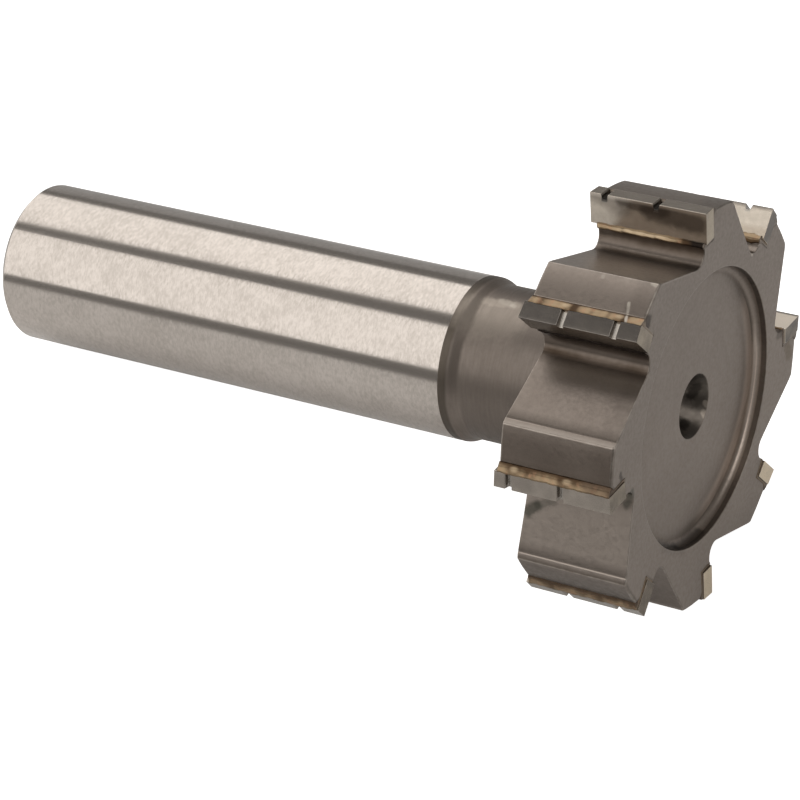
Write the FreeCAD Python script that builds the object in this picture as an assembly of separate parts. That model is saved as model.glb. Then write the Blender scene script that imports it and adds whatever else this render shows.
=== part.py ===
import FreeCAD, Part
import math
import os

# A shank-type keyseat cutter with brazed carbide tips.
# Sizes are in millimetres and degrees. The tool is drawn with its axis along X, the rim of the recess in
# its end face at X = 0 and its shank towards -X. At the end it is laid down as it rests on a bench.

# Shank and neck
overall_length = 59.65
shank_diameter = 12.7
shank_end_chamfer = 0.4
neck_undercut = 0.4
neck_length = 9.8
shoulder_length = 0.85
shoulder_fillet = 1.0
hub_fillet = 1.2

# Steel head, which takes its diameter and width from the tips that it carries
front_dish_angle = 1.5
rear_dish_angle = 6.0
rim_chamfer = 0.15
recess_rim_width = 1.03
recess_depth = 1.0
recess_fillet = 0.5

# Centre holes for turning and grinding between points
centre_angle = 60.0
centre_drill_point_angle = 118.0
head_centre_diameter = 4.9
head_centre_pilot_diameter = 2.0
head_centre_pilot_length = 1.6
shank_centre_diameter = 5.3
shank_centre_pilot_diameter = 2.5
shank_centre_pilot_length = 2.0

# Teeth, each counted from its cutting edge
tooth_count = 8
gullet_depth = 3.89
gullet_floor_angle = 16.6
gullet_fillet = 1.0

# Carbide tips, proud of the steel all round
cutting_diameter = 31.75
cutting_width = 9.22
tip_thickness = 1.3
tip_height = 2.45
tip_projection = 0.375
tip_front_overhang = 0.12
tip_rear_overhang = 0.32
tip_relief_angle = 4.0
tip_side_relief_angle = 3.0

# Chip-breaking notches, set over by half their pitch on every second tooth
notch_pitch = 4.1
notch_first_distance = 1.9
notch_width = 0.55
notch_depth = 0.42
notch_side_angle = 15.0

# Braze between each tip and its pocket
braze_gap = 0.2
bead_width = 0.4
bead_height = 0.32

# How far a cutting shape reaches past what it cuts
cut_margin = 1.0

# Radii and angles that follow from the sizes above
shank_radius = shank_diameter / 2
neck_radius = shank_radius - neck_undercut
cutting_radius = cutting_diameter / 2
head_radius = cutting_radius - tip_projection
head_width = cutting_width - tip_front_overhang - tip_rear_overhang
gullet_root_radius = head_radius - gullet_depth
recess_radius = gullet_root_radius - recess_rim_width
tooth_pitch = 360.0 / tooth_count
tip_inner_radius = cutting_radius - tip_height
seat_radius = tip_inner_radius - braze_gap
seat_wall = tip_thickness + braze_gap
bead_edge = seat_wall + bead_width
bead_edge_radius = math.sqrt(head_radius ** 2 - bead_edge ** 2)


def tangent(angle):
    return math.tan(math.radians(angle))


def front_face_x(radius):
    # The end face is hollow ground: a very flat cone that falls in from the rim to the recess.
    return (radius - recess_radius) * tangent(front_dish_angle)


def rear_face_x(radius):
    # The rear face is dished: a shallow cone, deepest at the neck.
    return front_face_x(head_radius) - head_width + (head_radius - radius) * tangent(rear_dish_angle)


# Where the tool's two ends and the rear end of its tips lie along the axis
tip_front_x = front_face_x(head_radius) + tip_front_overhang
tip_rear_x = tip_front_x - cutting_width
shank_end_x = tip_front_x - overall_length


def outline_face(corners, fillets):
    # A flat face through the corners, with an arc where fillets gives that corner a radius.
    edges = []
    count = len(corners)
    starts = []
    ends = []
    for index in range(count):
        corner = corners[index]
        radius = fillets.get(index, 0.0)
        if radius == 0.0:
            starts.append(corner)
            ends.append(corner)
            continue
        before = (corners[index - 1] - corner).normalize()
        after = (corners[(index + 1) % count] - corner).normalize()
        half_angle = before.getAngle(after) / 2
        reach = radius / math.tan(half_angle)
        middle = (before + after).normalize()
        centre = corner + middle * (radius / math.sin(half_angle))
        arc_start = corner + before * reach
        arc_end = corner + after * reach
        edges.append(Part.Arc(arc_start, centre - middle * radius, arc_end).toShape())
        starts.append(arc_start)
        ends.append(arc_end)
    for index in range(count):
        edges.append(Part.makeLine(ends[index], starts[(index + 1) % count]))
    return Part.Face(Part.Wire(Part.__sortEdges__(edges)))


def around_axis(profile, fillets):
    # Turns a profile of (x, radius) corners about the tool's axis.
    corners = [FreeCAD.Vector(x, radius, 0) for x, radius in profile]
    face = outline_face(corners, fillets)
    return face.revolve(FreeCAD.Vector(0, 0, 0), FreeCAD.Vector(1, 0, 0), 360)


def along_axis(section, fillets, rear_x, front_x):
    # Extrudes a section of (radial, tangential) corners, drawn on the tooth whose edge points along +Y.
    corners = [FreeCAD.Vector(rear_x, radial, tangential) for radial, tangential in section]
    return outline_face(corners, fillets).extrude(FreeCAD.Vector(front_x - rear_x, 0, 0))


def at_tooth(shape, index):
    copy = shape.copy()
    copy.rotate(FreeCAD.Vector(0, 0, 0), FreeCAD.Vector(1, 0, 0), index * tooth_pitch)
    return copy


def at_every_tooth(shape):
    return [at_tooth(shape, index) for index in range(tooth_count)]


def centre_hole(face_x, inward, diameter, pilot_diameter, pilot_length):
    # The corners of a centre hole's half section, from its mouth to the point of its pilot drilling.
    cone_depth = (diameter - pilot_diameter) / 2 / tangent(centre_angle / 2)
    point_depth = pilot_diameter / 2 / tangent(centre_drill_point_angle / 2)
    pilot_start = face_x + inward * cone_depth
    pilot_end = pilot_start + inward * pilot_length
    return [
        (face_x, diameter / 2),
        (pilot_start, pilot_diameter / 2),
        (pilot_end, pilot_diameter / 2),
        (pilot_end + inward * point_depth, 0.0),
    ]


def blank():
    # The turned blank: head with its recess and dished rear face, neck, shoulder and shank.
    shoulder_x = rear_face_x(neck_radius) - neck_length
    shank_x = shoulder_x - shoulder_length
    head_end = centre_hole(
        -recess_depth, -1, head_centre_diameter, head_centre_pilot_diameter, head_centre_pilot_length
    )
    shank_end = centre_hole(
        shank_end_x, 1, shank_centre_diameter, shank_centre_pilot_diameter, shank_centre_pilot_length
    )
    recess = [(-recess_depth, recess_radius), (0.0, recess_radius)]
    head = [(front_face_x(head_radius), head_radius), (rear_face_x(head_radius), head_radius)]
    hub = [(rear_face_x(neck_radius), neck_radius)]
    neck = [(shoulder_x, neck_radius), (shank_x, shank_radius)]
    shank = [
        (shank_end_x + shank_end_chamfer, shank_radius),
        (shank_end_x, shank_radius - shank_end_chamfer),
    ]
    profile = head_end[::-1] + recess + head + hub + neck + shank + shank_end
    fillets = {
        profile.index(recess[0]): recess_fillet,
        profile.index(hub[0]): hub_fillet,
        profile.index(neck[0]): shoulder_fillet,
        profile.index(neck[1]): shoulder_fillet,
    }
    turned = around_axis(profile, fillets)
    rim_edges = []
    for edge in turned.Edges:
        if isinstance(edge.Curve, Part.Circle) and abs(edge.Curve.Radius - head_radius) < 1e-6:
            rim_edges.append(edge)
    return turned.makeChamfer(rim_chamfer, rim_edges)


def gullet_cut():
    # One gullet: the rake wall stands on the radial plane and the floor leans up to the next heel.
    reach = head_radius + cut_margin
    floor_end = gullet_root_radius + reach * tangent(gullet_floor_angle)
    section = [(gullet_root_radius, 0.0), (2 * reach, 0.0), (2 * reach, reach), (floor_end, reach)]
    return along_axis(section, {0: gullet_fillet}, -head_width - cut_margin, cut_margin)


def pocket_cut():
    # The seat of one tip, with a lead-in at the land that the braze bead fills.
    reach = head_radius + cut_margin
    section = [
        (seat_radius, cut_margin),
        (seat_radius, -seat_wall),
        (bead_edge_radius - bead_width, -seat_wall),
        (reach, bead_edge_radius - bead_edge - reach),
        (reach, cut_margin),
    ]
    return along_axis(section, {}, -head_width - cut_margin, cut_margin)


def cutter_body():
    return blank().cut(at_every_tooth(gullet_cut()) + at_every_tooth(pocket_cut()))


def notch_cut(distance):
    # One notch across the land of a tip, at a distance from the tip's front end.
    floor_radius = cutting_radius - notch_depth
    floor_half = notch_width / 2 - notch_depth * tangent(notch_side_angle)
    mouth_half = notch_width / 2 + cut_margin * tangent(notch_side_angle)
    middle = tip_front_x - distance
    corners = [
        FreeCAD.Vector(middle - floor_half, floor_radius, cut_margin),
        FreeCAD.Vector(middle + floor_half, floor_radius, cut_margin),
        FreeCAD.Vector(middle + mouth_half, cutting_radius + cut_margin, cut_margin),
        FreeCAD.Vector(middle - mouth_half, cutting_radius + cut_margin, cut_margin),
    ]
    length = tip_thickness + 2 * cut_margin
    return outline_face(corners, {}).extrude(FreeCAD.Vector(0, 0, -length))


def carbide_tip(index):
    # A straight tip with relief behind its cutting edge and behind both of its side edges.
    land_rear_radius = cutting_radius - tip_thickness * tangent(tip_relief_angle)
    section = [
        (tip_inner_radius, 0.0),
        (cutting_radius, 0.0),
        (land_rear_radius, -tip_thickness),
        (tip_inner_radius, -tip_thickness),
    ]
    prism = along_axis(section, {}, tip_rear_x, tip_front_x)
    side_relief = tip_thickness * tangent(tip_side_relief_angle)
    plan = [
        FreeCAD.Vector(tip_front_x, tip_inner_radius, 0),
        FreeCAD.Vector(tip_rear_x, tip_inner_radius, 0),
        FreeCAD.Vector(tip_rear_x + side_relief, tip_inner_radius, -tip_thickness),
        FreeCAD.Vector(tip_front_x - side_relief, tip_inner_radius, -tip_thickness),
    ]
    relieved = prism.common(outline_face(plan, {}).extrude(FreeCAD.Vector(0, tip_height, 0)))
    distance = notch_first_distance
    if index % 2 == 0:
        distance += notch_pitch / 2
    notches = []
    while distance < cutting_width - notch_width:
        notches.append(notch_cut(distance))
        distance += notch_pitch
    return at_tooth(relieved.cut(notches), index)


def braze_seam(index):
    # The braze under and behind one tip, with its bead on the land, ends level with the steel's sides.
    outer_radius = cutting_radius + cut_margin
    section = [
        (seat_radius, 0.0),
        (seat_radius, -seat_wall),
        (bead_edge_radius - bead_width, -seat_wall),
        (bead_edge_radius, -bead_edge),
        (bead_edge_radius + bead_height, -tip_thickness),
        (tip_inner_radius, -tip_thickness),
        (tip_inner_radius, 0.0),
    ]
    seam = along_axis(section, {}, -head_width - cut_margin, cut_margin)
    sides = around_axis(
        [
            (front_face_x(0.0), 0.0),
            (front_face_x(outer_radius), outer_radius),
            (rear_face_x(outer_radius), outer_radius),
            (rear_face_x(0.0), 0.0),
        ],
        {},
    )
    return at_tooth(seam.common(sides), index)


def resting_place(shapes):
    # The tool lies on three points: the rear corner of one cutting edge, the heel corner of the next
    # tooth and the rim of the shank's end. The turn about the axis brings both teeth level, the tilt
    # lets the shank's end down. The origin is then the bottom centre of the whole tool's box.
    floor_run = -gullet_root_radius * math.sin(math.radians(gullet_floor_angle)) + math.sqrt(
        head_radius ** 2 - (gullet_root_radius * math.cos(math.radians(gullet_floor_angle))) ** 2
    )
    heel_height = floor_run * math.cos(math.radians(gullet_floor_angle))
    heel_angle = math.asin(heel_height / head_radius)
    shank_rim_x = shank_end_x + shank_end_chamfer
    edge_arm = tip_rear_x - shank_rim_x
    heel_arm = rear_face_x(head_radius) + rim_chamfer - shank_rim_x
    level = cutting_radius * heel_arm - head_radius * edge_arm * math.cos(heel_angle)
    across = head_radius * edge_arm * math.sin(heel_angle)
    offset = shank_radius * (heel_arm - edge_arm)
    down_angle = math.acos(offset / math.hypot(level, across)) - math.atan2(across, level)
    tilt = math.atan((cutting_radius * math.cos(down_angle) - shank_radius) / edge_arm)
    turn = FreeCAD.Rotation(FreeCAD.Vector(1, 0, 0), -90 - math.degrees(down_angle))
    lower = FreeCAD.Rotation(FreeCAD.Vector(0, 1, 0), -math.degrees(tilt))
    rotation = lower.multiply(turn)
    lying = Part.makeCompound(shapes)
    lying.Placement = FreeCAD.Placement(FreeCAD.Vector(0, 0, 0), rotation)
    box = lying.optimalBoundingBox(False, False)
    origin = FreeCAD.Vector(box.Center.x, box.Center.y, box.ZMin)
    return FreeCAD.Placement(origin.negative(), rotation)


nodes = {"cutter_body": cutter_body()}
for number in range(1, tooth_count + 1):
    nodes[f"carbide_tip_{number}"] = carbide_tip(number - 1)
    nodes[f"braze_seam_{number}"] = braze_seam(number - 1)

place = resting_place(list(nodes.values()))
os.makedirs("parts", exist_ok=True)
for name, shape in nodes.items():
    shape.Placement = place.multiply(shape.Placement)
    shape.exportStep(f"parts/{name}.step")
    print(name, "solids", len(shape.Solids), "valid", shape.isValid(), "volume", round(shape.Volume, 3))
print("axis", place.Rotation.multVec(FreeCAD.Vector(1, 0, 0)), "end face", place.Base)
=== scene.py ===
import bpy
import numpy as np
from mathutils import Euler, Matrix, Vector


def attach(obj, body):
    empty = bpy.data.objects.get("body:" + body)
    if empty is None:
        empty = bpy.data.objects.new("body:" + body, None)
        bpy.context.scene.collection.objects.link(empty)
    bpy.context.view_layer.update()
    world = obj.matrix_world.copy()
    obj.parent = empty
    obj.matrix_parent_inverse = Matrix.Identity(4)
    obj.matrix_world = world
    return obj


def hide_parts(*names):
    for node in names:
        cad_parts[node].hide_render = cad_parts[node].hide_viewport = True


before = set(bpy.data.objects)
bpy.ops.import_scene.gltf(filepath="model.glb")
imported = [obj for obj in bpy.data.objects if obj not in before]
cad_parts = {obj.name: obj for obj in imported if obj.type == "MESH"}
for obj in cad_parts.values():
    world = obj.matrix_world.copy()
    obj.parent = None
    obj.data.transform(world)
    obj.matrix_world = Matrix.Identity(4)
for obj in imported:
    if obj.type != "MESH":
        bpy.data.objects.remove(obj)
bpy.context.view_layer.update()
print("frame loaded with", len(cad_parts), "nodes")

# How the tool lies on the bench: turned about its own axis, tilted, then moved to its end face. Millimetres, degrees.
lay = {"turn": -107.1915, "tilt": -9.9935, "endFace": (28.32779, 0.0, 16.49246)}
layTurn = Euler((np.radians(lay["turn"]), np.radians(lay["tilt"]), 0.0))
layMatrix = np.array(layTurn.to_matrix())


def onBench(points):
    # tool millimetres, axis along X, to row metres: turned by the lay, plus the end face's place, over a thousand
    return (np.asarray(points) @ layMatrix.T + lay["endFace"]) / 1000


def unit(vectors):
    # each vector over its own length
    return vectors / np.linalg.norm(vectors, axis=-1, keepdims=True)


def outwardOf(loop):
    # each point's way out of a flat closed loop: the run between its two neighbours, turned a quarter clockwise
    run = np.roll(loop, -1, 0) - np.roll(loop, 1, 0)
    return unit(np.stack([run[:, 1], -run[:, 0]], -1))


def roundedLine(corners, radii, steps, inside, hold, closed=False):
    # Straight runs between flat corners, each corner of radius r swapped for the arc that touches both runs at
    # r / tan(half its angle). A run holds `inside` points, the outer two `hold` from its ends.
    # Gives the points and each one's place, counted in corners.
    corners = np.asarray(corners, float)
    count = len(corners)
    arcs, arcPlaces = [], []
    for i in range(count):
        if radii[i] == 0 or (not closed and i in (0, count - 1)):
            arcs.append(corners[i][None])
            arcPlaces.append(np.array([float(i)]))
            continue
        before, after = unit(corners[i - 1] - corners[i]), unit(corners[(i + 1) % count] - corners[i])
        half = np.arccos(np.clip(before @ after, -1, 1)) / 2
        centre = corners[i] + unit(before + after) * radii[i] / np.sin(half)
        first, last = (corners[i] + way * radii[i] / np.tan(half) - centre for way in (before, after))
        sweep = np.pi - 2 * half
        t = np.linspace(0, 1, steps[i] + 1)[:, None]
        arcs.append(centre + (first * np.sin((1 - t) * sweep) + last * np.sin(t * sweep)) / np.sin(sweep))
        arcPlaces.append(i + (t[:, 0] - 0.5) / 2)
    points, places = [], []
    for i in range(count):
        points.append(arcs[i])
        places.append(arcPlaces[i])
        if i == count - 1 and not closed:
            break
        start, end = arcs[i][-1], arcs[(i + 1) % count][0]
        keep = min(hold / max(np.linalg.norm(end - start), 1e-9), 0.3)
        share = np.linspace(keep, 1 - keep, inside[i]) if inside[i] > 1 else np.full(inside[i], 0.5)
        points.append(start + (end - start) * share[:, None])
        nextPlace = arcPlaces[(i + 1) % count][0] + (count if i == count - 1 else 0)
        places.append(arcPlaces[i][-1] + (nextPlace - arcPlaces[i][-1]) * share)
    return np.concatenate(points), np.concatenate(places)


def wovenMesh(name, rows, caps, marks, uv=None):
    # Rows of points, each a closed loop of as many columns. Neighbours join as quads, wound so that rows running
    # from +X to -X and columns turning from +Y to +Z face outwards. caps is "pole", where the first and last rows
    # close on the point in their middle, or "ribbon", where they close by joining column j to its partner counted
    # from the end.
    rowCount, columnCount = rows.shape[:2]
    points = rows.reshape(-1, 3)
    quadCells = np.stack(np.meshgrid(np.arange(rowCount - 1), np.arange(columnCount), indexing="ij"), -1)
    cornerSteps = np.array([[0, 0], [1, 0], [1, 1], [0, 1]])
    cells = (quadCells.reshape(-1, 1, 2) + cornerSteps).reshape(-1, 2)
    quads = (cells[:, 0] * columnCount + cells[:, 1] % columnCount).reshape(-1, 4)
    lastRow = (rowCount - 1) * columnCount
    if caps == "pole":
        ring = np.arange(columnCount)
        nextRing, top, low = (ring + 1) % columnCount, ring * 0, ring * 0 + rowCount - 1
        fans = [[top + len(points), ring, nextRing], [top + len(points) + 1, lastRow + nextRing, lastRow + ring]]
        fanCells = [[(top, ring), (top, ring), (top, ring + 1)], [(low, ring), (low, ring + 1), (low, ring)]]
        closing = np.moveaxis(np.array(fans), 2, 1).reshape(-1, 3)
        cells = np.concatenate([cells, np.moveaxis(np.array(fanCells), 3, 1).reshape(-1, 2)])
        points = np.concatenate([points, rows[0].mean(0)[None], rows[-1].mean(0)[None]])
    else:
        one = np.arange(columnCount // 2 - 1)
        strip = np.stack([one, one + 1, columnCount - 2 - one, columnCount - 1 - one], -1)
        closing = np.concatenate([strip, lastRow + strip[:, ::-1]])
    faces = quads.tolist() + closing.tolist()
    mesh = bpy.data.meshes.new(name)
    mesh.from_pydata(onBench(points).tolist(), [], faces)
    mesh.polygons.foreach_set("use_smooth", np.ones(len(faces), bool))
    if uv is not None:
        along, around = uv  # a length for each row and an angle for each column and the first one again
        layer = mesh.uv_layers.new(name="turning")
        layer.data.foreach_set("uv", np.stack([along[cells[:, 0]], around[cells[:, 1]]], -1).ravel())
    for markName, values in marks.items():
        padded = np.zeros(len(points))  # the poles keep 0
        padded[:rowCount * columnCount] = np.asarray(values, float).ravel()
        mesh.attributes.new(markName, "FLOAT", "POINT").data.foreach_set("value", padded)
    piece = bpy.data.objects.new(name, mesh)
    bpy.context.scene.collection.objects.link(piece)
    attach(piece, "root")
    return piece


def wander(along, wave, seed):
    # a smooth uneven line of about unit swing: four sines of falling length, their phases drawn from the seed
    phases = np.random.default_rng(seed).uniform(0, 2 * np.pi, 4)
    total = sum(np.sin(2 * np.pi * along / (wave * share) + phase) * share ** 0.5
                for share, phase in zip((1.0, 0.61, 0.37, 0.19), phases))
    return total / 1.9


# Sizes that several pieces share, in the tool's millimetres and degrees
tool = {
    "teeth": 8,
    "toothPitch": 45.0,
    "headRadius": 15.5,
    "recessRadius": 10.58,
    "headWidth": 8.78,
    "frontDish": 1.5,
    "rearDish": 6.0,
    "cuttingRadius": 15.875,
    "cuttingWidth": 9.22,
    "tipFront": 0.249,
    "tipThickness": 1.3,
    "tipFoot": 13.425,
    "seatRadius": 13.225,
    "seatWall": 1.5,
    "pocketLip": 0.4,       # how far the pocket's top corner lies in from the bead's edge
    "beadEdge": (15.383, -1.9),
    "beadTop": (15.703, -1.3),
}


def frontFace(radius):
    # the end face's place along the axis: a flat cone that falls in from the rim to the recess
    return (radius - tool["recessRadius"]) * np.tan(np.radians(tool["frontDish"]))


def rearFace(radius):
    # the rear face's place: the front rim's less the width, plus a shallow hollow cone, deepest at the neck
    dish = (tool["headRadius"] - radius) * np.tan(np.radians(tool["rearDish"]))
    return frontFace(tool["headRadius"]) - tool["headWidth"] + dish


def toothTurn(flat, number):
    # (radial, tangential) of the first tooth's section to the same place on tooth `number`: a turn by its pitch
    angle = np.radians(number * tool["toothPitch"])
    radial, tangential = flat[..., 0], flat[..., 1]
    return np.stack([radial * np.cos(angle) - tangential * np.sin(angle),
                     radial * np.sin(angle) + tangential * np.cos(angle)], -1)


# The steel body, lengths and radii along and from the tool's axis
body = {
    "gulletRoot": 11.61,
    "floorLean": 16.6,
    "heelAngle": 27.5257,
    "stripWidth": 0.55,     # a slightly proud strip beside two of the heels, and the sunk line that bounds it
    "stripLine": 0.05,
    "lineReach": (0.09, 0.07),
    "stripGullets": (5, 6),
    # The corners of one tooth's outline: the heel and five more on the land, the last at the bead, three in the tip's
    # pocket, the gullet's root and three at the strip. Each has its rounding, points on the arc and on the run after
    # it, its angle on the circles further in, and how much its edge is broken.
    "toothCorners": [
        (0.16, 5, 2, -17.47, 0.15), (0, 1, 1, -16.4, 0.15), (0, 1, 1, -15.3, 0.15), (0, 1, 1, -14.2, 0.15),
        (0, 1, 2, -13.1, 0.15), (0.12, 3, 1, -11.9, 0.1), (0.12, 3, 3, -11.0, 0.055), (0.04, 2, 2, -8.6, 0.055),
        (0.06, 3, 2, -4.2, 0.055), (1.0, 9, 8, 1.0, 0.055), (0, 1, 0, 24.6, 0.055), (0, 1, 0, 25.1, 0.055),
        (0, 1, 2, 25.6, 0.055)],
    # tooth by tooth: how dark the brazing has left the land, how dark the painted shade is on the wall under the tip,
    # in the gullet's corner and on the line where that meets the floor, and the floor's painted shade (below 0) or
    # painted light (above 0)
    "landHeat": (0.15, 0.15, 0.15, 0.15, 0.1, 0.1, 0.8, 1.15),
    "wallShade": (0.3, 0.3, 0.4, 0.6, 1.0, 1.15, 0.5, 0.6),
    "cornerShade": (0.3, 0.3, 0.3, 0.15, 0.42, 0.75, 0.4, 0.6),
    "lineShade": (0.0, 0.0, 0.0, 0.0, 0.0, 0.40, 0.0, 0.0),
    "floorLight": (0.0, 0.0, 0.0, -0.3, 0.5, 0.0, 0.8, -0.58),
    # where those lie along the outline, counted in corners, the wall's end and fade again tooth by tooth
    "wallEnd": (8.8, 8.8, 8.8, 8.8, 8.99, 8.8, 8.8, 8.8),
    "wallFade": (0.3, 0.3, 0.3, 0.3, 0.12, 0.3, 0.3, 0.3),
    "heelRamp": ([0.15, 0.4], [1.0, 0.0]),
    "landEnd": 7,
    "landRamp": ([0.1, 0.3, 4.1, 5.0], [0.0, 0.52, 0.79, 1.0]),
    "cornerRamp": ([9.16, 9.36], [1.0, 0.0]),
    "lineRamp": ([9.08, 9.16, 9.24, 9.36], [0.0, 1.0, 1.0, 0.0]),
    "floorRamp": ([9.2, 9.4], [0.0, 1.0]),
    "stripPlaces": (11.2, 12.9),
    "linePlaces": (9.95, 11.2),
    "stripPale": 0.3,
    "rimFlat": 0.3,         # the last ring of the front before it turns into the outline
    "edgeTurns": (0, 18, 45, 72, 90),
    # edge marks lighten the broken edges, partly as wear and partly as painted highlight
    "recessWear": (0.08, 0.4),      # how far from the recess's edge, and how worn
    "frontWear": (0.2, 0.6, 0.6, 0.7, 0.3),
    "heelWearAndGlint": 0.5,
    "rearWear": (0.3, 0.7, 0.6, 0.6, 0.2),
    "faceRows": (0.12, 0.3, 0.5, 0.7, 0.86, 0.95),
    "sideRows": (0.006, 0.12, 0.25, 0.38, 0.5, 0.62, 0.75, 0.88, 0.994),
    "recessDepth": 1.0,
    "recessRound": 0.5,
    "headCentre": (2.45, 1.0, 1.6),      # mouth radius, pilot radius, pilot length
    "shankCentre": (2.65, 1.25, 2.0),
    "centreCone": 30.0,
    "drillCone": 59.0,
    "neckRadius": 5.95,
    "shankRadius": 6.35,
    "hubRound": 1.2,
    "shoulderPlaces": (-17.447, -18.297),
    "shoulderRound": 1.0,
    "groundEdge": -18.97,   # where the grinding of the shank begins
    "shankEnd": -59.401,
    "shankChamfer": 0.4,
    # in corners of the rear's profile: the chamfer and the centre's mouth, whose edges are worn, and the ground part
    "wornPlaces": ((4.74, 6.26), (6.74, 7.3)),
    "groundPlaces": (3.99, 6.01),
    "turnsOfGrain": 40,     # how far the grain's measure runs in one turn round the shank
}


def headOutline():
    # One closed line round the eight teeth, its corners rounded, the land's corners lying on the head's circle.
    # Gives the points, the angle that each has on the circles further in, its edge break, and four marks:
    # at a heel (where wear and painted highlight lighten the edge), darkened by brazing heat on the land and by
    # painted shade in the gullet, paler than the rest (a pale strip, and painted light on some gullet floors) and on
    # the line that bounds a strip (painted shadow in it).
    teeth, pitch, radius, bead = tool["teeth"], tool["toothPitch"], tool["headRadius"], tool["beadEdge"]
    seat, wall = tool["seatRadius"], -tool["seatWall"]
    lean, heelAngle = np.radians(body["floorLean"]), np.radians(body["heelAngle"])
    floorRun, inward = np.array([np.sin(lean), np.cos(lean)]), np.array([-np.cos(lean), np.sin(lean)])
    nextHeel = radius * np.array([np.cos(heelAngle), np.sin(heelAngle)])
    line = nextHeel - floorRun * body["stripWidth"]
    before, after = body["lineReach"]
    land = np.linspace(np.radians(body["heelAngle"] - pitch), np.arctan2(bead[1], bead[0]), 6)
    corners = []
    for number in range(teeth):
        sunk = body["stripLine"] if number in body["stripGullets"] else 0.0
        section = [(radius * np.cos(a), radius * np.sin(a)) for a in land]
        section += [(bead[0] - tool["pocketLip"], wall), (seat, wall), (seat, 0.0), (body["gulletRoot"], 0.0),
                    line - floorRun * before, line + inward * sunk, line + floorRun * after]
        corners.append(toothTurn(np.array(section), number))
    rounds, steps, inside, bends, breaks = (values * teeth for values in zip(*body["toothCorners"]))
    points, places = roundedLine(np.concatenate(corners), rounds, steps, inside, 0.05, closed=True)
    perTooth = len(body["toothCorners"])

    def perPoint(values, turn=0.0):
        # a value for each corner, carried evenly along the closed line's runs, with `turn` added at each lap
        lapped = [values[-1] - turn, *values, values[0] + turn, values[1] + turn]
        return np.interp(places, np.arange(-1, len(values) + 2), lapped)

    angles = perPoint([bend + i // perTooth * pitch for i, bend in enumerate(bends)], 360)
    place = places % perTooth
    gullet = np.floor_divide(places + 0.5, perTooth).astype(int) % teeth

    def own(key):
        # what each point's own tooth has in a list of one value to a tooth
        return np.array(body[key])[gullet]

    heel = np.interp(np.abs((places + 0.5) % perTooth - 0.5), *body["heelRamp"])
    inGullet = place >= body["landEnd"]
    wallShare = np.clip((own("wallEnd") - place) / own("wallFade"), 0, 1)
    heatAndShadeShares = {
        "landHeat": ~inGullet * np.interp(place, *body["landRamp"]),
        "wallShade": inGullet * wallShare,
        "cornerShade": inGullet * (1 - wallShare) * np.interp(place, *body["cornerRamp"]),
        "lineShade": np.interp(place, *body["lineRamp"])}
    floorLight = own("floorLight") * np.interp(place, *body["floorRamp"])
    scorchAndShade = sum(share * own(key) for key, share in heatAndShadeShares.items()) - np.minimum(floorLight, 0)
    hasStrip = np.isin(gullet, body["stripGullets"])
    onStrip, onLine = (hasStrip * ((place > first) & (place <= last))
                       for first, last in (body["stripPlaces"], body["linePlaces"]))
    pale = onStrip * body["stripPale"] + np.maximum(floorLight, 0)
    return points, angles, perPoint(breaks), heel, scorchAndShade, pale, onLine


def centreHole(face, way, size, run):
    # A centre hole's profile from its mouth in: a cone as long as its fall over the tangent of its half angle, the
    # pilot, and the drill's point. Each corner is as turnedLine takes it.
    mouth, pilot, drilled = size
    start = face + way * (mouth - pilot) / np.tan(np.radians(body["centreCone"]))
    end = start + way * drilled
    point = end + way * pilot / np.tan(np.radians(body["drillCone"]))
    return [(face, mouth, 0.07, 3, run), (start, pilot, 0.1, 3, 2), (end, pilot, 0.1, 3, 2), (point, 0.02, 0, 1, 2)]


def turnedLine(corners):
    # a rounded line from corners of (place along the axis, radius, rounding, points on the arc, on the run after it)
    places, radii, rounds, steps, inside = zip(*corners)
    return roundedLine(np.column_stack([places, radii]), rounds, steps, inside, 0.04)


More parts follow.
